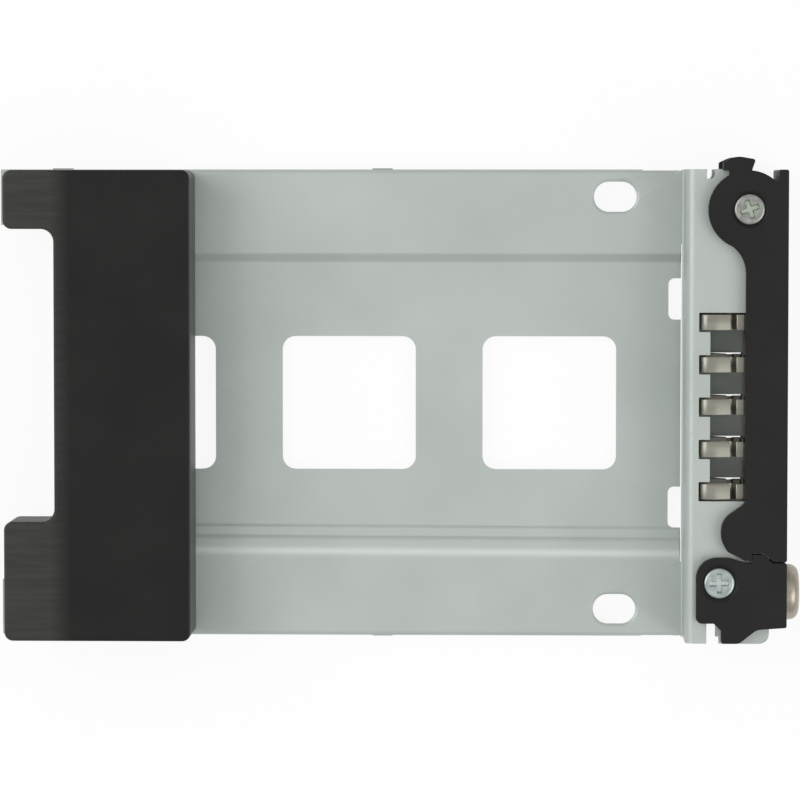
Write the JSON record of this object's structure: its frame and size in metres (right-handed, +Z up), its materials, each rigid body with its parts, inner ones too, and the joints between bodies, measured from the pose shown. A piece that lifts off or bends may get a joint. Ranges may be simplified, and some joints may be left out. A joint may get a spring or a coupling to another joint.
{
  "type": "hot swap drive caddy",
  "caption": "Folded sheet tray for a 2.5 inch drive with a black rear block, sprung contact fingers, swinging front lever, latch and push button.",
  "frame": {"origin": "midway between the two front drive screws, on the seat that the drive lies on", "axes": "+X out of the server through the front, +Y towards the lever's pivot, +Z up from the seat"},
  "size_m": [0.119, 0.0718, 0.0139],
  "materials": {
    "sheet_zinc": "zinc plated, satin, grey green",
    "moulded_black": "fine matt grain",
    "nickel_strip": "nickel plated spring strip",
    "screw_zinc": "zinc plated",
    "button_nickel": "nickel plated, satin",
    "steel": "turned steel",
    "spring_steel": "drawn wire"
  },
  "bodies": {
    "tray": {"drive_tray": "sheet_zinc", "base_bracket": "sheet_zinc", "bracket_rivet_left": "steel", "bracket_rivet_right": "steel", "contact_strip_top": "nickel_strip", "contact_strip_bottom": "nickel_strip", "rear_block": "moulded_black", "block_screw_left": "screw_zinc", "block_screw_right": "screw_zinc", "lever_bush": "steel", "latch_bush": "steel", "lever_screw_top": "screw_zinc", "lever_screw_bottom": "screw_zinc", "latch_screw_top": "screw_zinc", "latch_screw_bottom": "screw_zinc", "release_peg": "steel", "lever_spring": "spring_steel", "latch_spring": "spring_steel"},
    "lever": {"lever": "moulded_black"},
    "latch": {"latch": "moulded_black"},
    "button": {"release_button": "button_nickel"}
  },
  "joints": [
    {"name": "lever_hinge", "type": "hinge", "parent": "tray", "child": "lever", "pos_m": [0.01934, 0.02905, 0.0042], "axis": [0, 0, 1], "range_deg": [0, 50], "deforming": ["lever_spring"]},
    {"name": "latch_hinge", "type": "hinge", "parent": "tray", "child": "latch", "pos_m": [0.01514, -0.02585, 0.0042], "axis": [0, 0, 1], "range_deg": [-12, 0], "stiffness_Nm_per_rad": 0.05, "springref_deg": 14.32, "deforming": ["latch_spring"]},
    {"name": "button_press", "type": "slide", "parent": "latch", "child": "button", "axis": [-1, 0, 0], "range_m": [0, 0.00107]}
  ],
  "couplings": [
    {"joint": "latch_hinge", "follows": "button_press", "rad_per_m": -195.64}
  ]
}
